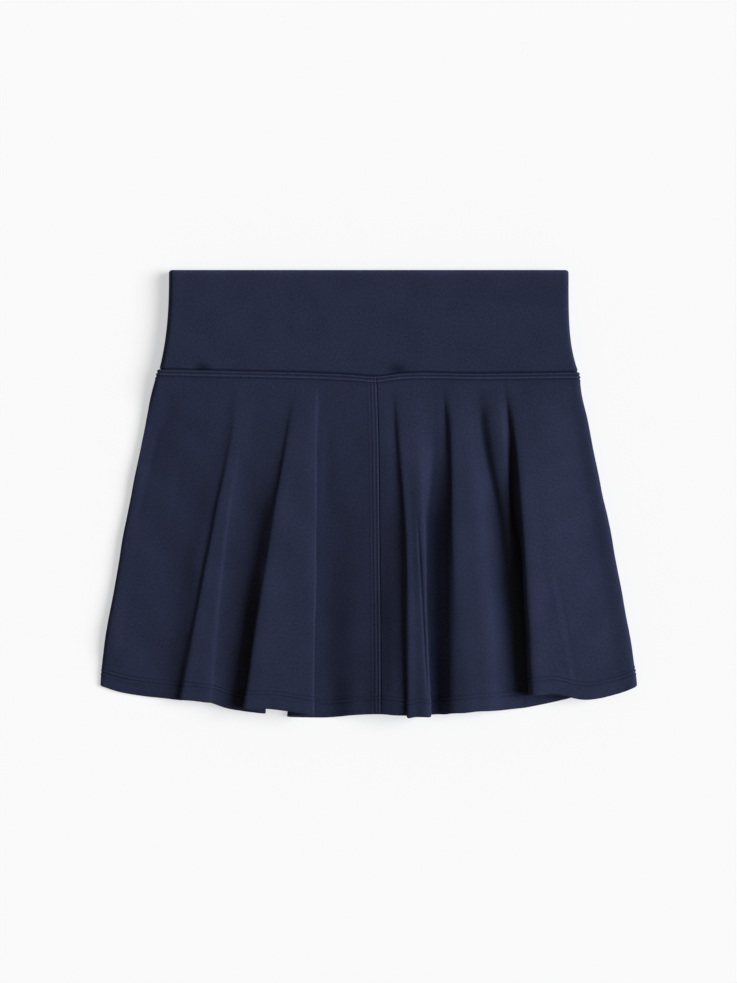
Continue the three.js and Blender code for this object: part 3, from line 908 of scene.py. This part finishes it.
def add_band_outer(name, start, stop, node):
    places = turns(start, stop)[None]
    height, depth = band_profile()
    rise = rise_round_band(places)
    share = np.clip(height / (TOP_Y - SEAM_Y), 0, 1)
    y = SEAM_Y + rise * (1 - share) ** 2 + height
    grid = band_outline(places, y, depth + BAND_CLOTH / 2)
    n = outward(grid)
    on_front = places < 1
    roll = -1.5 * bell(height, 0, 1.0)
    soft = 0.12 * waves(grid[..., 0], grid[..., 1], 120, 90, 3)
    push = roll - DIMPLE_DEPTH * dimpled(grid) + soft * ease(height, 2, 12) * on_front * (depth < 0.01)
    grid[:, 0] += 0.4 * unit(grid[:, 0] - grid[:, 1])
    grid[:, -1] += 0.4 * unit(grid[:, -1] - grid[:, -2])
    outer = grid + n * (BAND_CLOTH / 2 + push)[..., None]
    inner = grid + n * (-BAND_CLOTH / 2 + push)[..., None]
    lengths = lengths_along(grid[len(grid) // 2])
    uv = np.stack(np.broadcast_arrays(lengths[None], height - depth), axis=-1)
    # Painted highlight along the fold at the band's top edge, painted shade in the ditch at the waist seam,
    # and painted shade in the two dimples.
    shade = 0.4 * bell(TOP_Y - SEAM_Y - height + depth, 0, 3.5) - 0.3 * bell(height, 0, 0.7)
    shade = shade - DIMPLE_SHADE * dimpled(grid)
    painted_light_and_tucks = shade[..., None] * [1, 0, 0]
    piece = add_cloth(name, outer, inner, uv, shell, "shell", painted_light_and_tucks=painted_light_and_tucks)
    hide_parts(node)


def add_band_inner(name, start, stop, depth, thickness, low, top, material, slot, nodes):
    """A layer inside the band, from low up to top."""
    places = turns(start, stop)[None]
    y = np.linspace(top, low, 40)[:, None]
    grid = band_outline(places, y, depth)
    n = outward(grid)
    push = 0.12 * waves(grid[..., 0], y, 70, 50, 5) - DIMPLE_DEPTH * dimpled(grid)
    uv = np.stack(np.broadcast_arrays(lengths_along(grid[0])[None], y), axis=-1)
    outer = grid + n * (push + thickness / 2)[..., None]
    inner = grid + n * (push - thickness / 2)[..., None]
    piece = add_cloth(name, outer, inner, uv, material, slot)
    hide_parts(*nodes)


def add_side_allowance(hand, turn):
    """The allowance of one of the band's side seams, inside its outer cloth."""
    y = np.linspace(elastic_low[1] - 1, SEAM_Y + 2, 40)
    line, deeper = (band_outline(np.full(40, turn), y, np.full(40, depth)) for depth in (2.45, 3.5))
    n = unit(line - deeper)
    across = unit(np.cross(np.gradient(line, axis=0), n))
    piece = add_strip(f"waistband_{hand}_allowance", line, across, n, 6, 0.5, lining, "lining")
    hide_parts(f"waistband_side_seam_{hand}")
    return piece


side_allowances = [add_side_allowance("left", 0.02), add_side_allowance("right", SIDE_SEAM)]
add_band_outer("waistband_front_cloth", 0, SIDE_SEAM, "waistband_front_outer")
add_band_outer("waistband_back_cloth", SIDE_SEAM, 4, "waistband_back_outer")
LAYERS_LOW = SEAM_Y + 1.5
MESH_TOP = elastic_low[1] - 1.0
for name, start, stop in (("front", 0, SIDE_SEAM), ("back", SIDE_SEAM, 4)):
    add_band_inner(
        f"waistband_{name}_power_mesh", start, stop, 1.9, 0.6, LAYERS_LOW, MESH_TOP, mesh_cloth,
        "power_mesh", [f"waistband_{name}_mesh"],
    )
    add_band_inner(
        f"waistband_{name}_inner_facing", start, stop, 3.1, 0.9, LAYERS_LOW, TOP_Y - FOLD, lining,
        "lining", [f"waistband_{name}_facing"],
    )
add_band_inner(
    "waistband_elastic_loop", 0.002, 3.998, 1.8, 0.7, elastic_low[1] - 0.5, elastic_high[1] - 0.4,
    elastic_cloth, "elastic", ["waistband_elastic"],
)


# ---------------------------------------------------------------- the shorts

SHORTS_TOP_Y = shorts_back_high[1]
CROTCH_Y = (gusset_low[1] + gusset_high[1]) / 2
LEG_TOP_Y = leg_hem_high[1]
SHORTS_LOW, SHORTS_HIGH = leg_hem_low[2], leg_hem_high[2] - 1.5
SHORTS_HALF_TOP = 168
LEG_OUTER = leg_hem_high[0]
LEG_INNER = leg_hem_low[0]
SHORTS_AT_WAIST = {"front": 13.0, "back": 3.4}
SHORTS_THINNER = 2.2  # each layer is this much nearer the middle at the waist
LEG_EDGE = 3.0  # how far the turn at a leg's side reaches in


def shorts_edges(y):
    """Where a leg starts and ends across the shorts."""
    outer = mix(SHORTS_HALF_TOP, LEG_OUTER, (SHORTS_TOP_Y - y) / (SHORTS_TOP_Y - LEG_HEM_Y))
    inner = LEG_INNER * np.clip((CROTCH_Y - y) / (CROTCH_Y - LEG_HEM_Y), 0, 1)
    return inner, outer


def shorts_grid(hand, layer, y):
    """One layer of a leg's flattened tube, rounded at its outer edge and, below the crotch, its inner one."""
    y = y[:, None]
    inner, outer = shorts_edges(y)
    middle = (SHORTS_LOW + SHORTS_HIGH) / 2
    sign = 1 if layer == "front" else -1
    at_waist = (SHORTS_AT_WAIST[layer] - middle) * sign - SHORTS_THINNER
    half = mix(at_waist, (SHORTS_HIGH - SHORTS_LOW) / 2 - 0.4, ease(SHORTS_TOP_Y - y, 0, SETTLING))
    angle = np.linspace(math.pi / 2, 0, 9)[None, :-1]
    below = ease(CROTCH_Y - y, -8, 8)
    places = [
        inner + LEG_EDGE * (1 - np.sin(angle)),
        mix(inner + LEG_EDGE, outer - LEG_EDGE, np.linspace(0, 1, 60)[None]),
        (outer - LEG_EDGE + LEG_EDGE * np.sin(angle))[:, ::-1],
    ]
    lifts = [mix(1, np.cos(angle), below), np.ones((1, 60)) + 0 * y, np.cos(angle)[:, ::-1] + 0 * y]
    x = np.concatenate(places, axis=1)
    z = middle + sign * half * np.concatenate(lifts, axis=1)
    return np.stack(np.broadcast_arrays(x * hand, y, z), axis=-1)


def add_shorts_layer(name, hand, layer, y, nodes, extra=0.0):
    grid = shorts_grid(hand, layer, y)
    n = unit(np.cross(np.gradient(grid, axis=0), np.gradient(grid, axis=1)))
    if np.mean(n[..., 2]) * (1 if layer == "front" else -1) < 0:
        n = -n
    push = 0.15 * waves(grid[..., 0], grid[..., 1], 60, 90, 9)
    outer = grid + n * (SHORTS_CLOTH / 2 + push + extra)[..., None]
    inner = grid + n * (-SHORTS_CLOTH / 2 + push)[..., None]
    flipped = (hand < 0) != (layer == "back")
    piece = add_cloth(name, outer, inner, grid[..., :2], lining, "lining", flipped)
    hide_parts(*nodes)


leg_rows = np.linspace(SHORTS_TOP_Y, LEG_TOP_Y, 90)
leg_hem_rows = np.linspace(LEG_TOP_Y, LEG_HEM_Y, 16)
for side_name, hand in (("left", -1), ("right", 1)):
    for layer in ("front", "back"):
        add_shorts_layer(
            f"shorts_{side_name}_{layer}_panel", hand, layer, leg_rows,
            [f"shorts_{layer}_{side_name}", f"shorts_side_seam_{side_name}", f"shorts_inseam_{side_name}"],
        )
        add_shorts_layer(
            f"shorts_{side_name}_{layer}_leg_hem", hand, layer, leg_hem_rows,
            [f"shorts_leg_hem_{side_name}"], 0.25,
        )


def add_gusset():
    u, v = np.meshgrid(np.linspace(-1, 1, 24), np.linspace(1, -1, 24))
    width, length = (gusset_high - gusset_low)[:2] / 2
    x = width * (u + v) / 2
    y = CROTCH_Y + length * (v - u) / 2
    z = gusset_low[2] + 0.35 + 0.1 * waves(x, y, 12, 15, 2)
    grid = np.stack([x, y, z], axis=-1)
    up = np.array([0, 0, 0.3])
    piece = add_cloth("shorts_gusset_cloth", grid + up, grid - up, grid[..., :2], lining, "lining")
    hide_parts("shorts_gusset")


def add_label():
    u, v = np.meshgrid(np.linspace(0, 1, 16), np.linspace(1, 0, 24))
    x = mix(label_low[0], label_high[0], u)
    y = mix(label_low[1], label_high[1], v)
    z = (label_low[2] + label_high[2]) / 2 + 0.1 * np.sin(3 * v) * u
    grid = np.stack([x, y, z], axis=-1)
    up = np.array([0, 0, 0.13])
    piece = add_cloth("blank_care_label", grid + up, grid - up, grid[..., :2], satin, "label")
    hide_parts("care_label")


add_gusset()
add_label()


# ---------------------------------------------------------------- floor, light and camera


def add_stage():
    bpy.ops.mesh.primitive_plane_add(size=60)
    floor = bpy.context.object
    floor.name = "floor"
    paint = bpy.data.materials.new("pale_floor")
    paint.use_nodes = True
    shader = paint.node_tree.nodes["Principled BSDF"]
    shader.inputs["Base Color"].default_value = (0.42, 0.42, 0.42, 1)
    shader.inputs["Emission Color"].default_value = (0.917, 0.944, 1, 1)
    shader.inputs["Emission Strength"].default_value = 0.555
    shader.inputs["Roughness"].default_value = 0.9
    shader.inputs["Specular IOR Level"].default_value = 0.0
    floor.data.materials.append(paint)


WALL_TOP = 0.12  # sine of how high the pale wall round the room is seen
PALE_WALL = (0.93, 0.94, 0.95, 1)
DIM_CEILING = (0.2, 0.164, 0.09, 1)


def add_light():
    world = bpy.data.worlds.new("studio")
    world.use_nodes = True
    tree = world.node_tree
    direction = node(tree, "ShaderNodeTexCoord").outputs["Generated"]
    height = node(tree, "ShaderNodeSeparateXYZ", {"Vector": direction}).outputs["Z"]
    around = node(tree, "ShaderNodeValToRGB", {"Fac": height})
    wall, ceiling = around.color_ramp.elements
    wall.position, wall.color = WALL_TOP, PALE_WALL
    ceiling.position, ceiling.color = WALL_TOP + 0.03, DIM_CEILING
    tree.links.new(around.outputs["Color"], tree.nodes["Background"].inputs["Color"])
    bpy.context.scene.world = world
    light = bpy.data.lights.new("key_from_right", "SUN")
    light.energy = 4.34
    light.angle = math.radians(36)
    key = bpy.data.objects.new("key_from_right", light)
    key.rotation_euler = (0, math.radians(52), math.radians(5))
    bpy.context.scene.collection.objects.link(key)


LENS, SENSOR = 85, 36
FIELD_HEIGHT = 884.7
CAMERA_Y = 1.8
BAND_MIDDLE = 8  # the height at which the field is measured


def add_camera():
    """Straight above the middle of the photograph, at the distance where its height is FIELD_HEIGHT."""
    data = bpy.data.cameras.new("camera")
    data.lens, data.sensor_width = LENS, SENSOR
    camera = bpy.data.objects.new("camera", data)
    camera.location = (0, CAMERA_Y * MM, (FIELD_HEIGHT * LENS / SENSOR + BAND_MIDDLE) * MM)
    bpy.context.scene.collection.objects.link(camera)
    bpy.context.scene.camera = camera


add_stage()
add_light()
add_camera()
bpy.context.scene.view_settings.view_transform = "Standard"
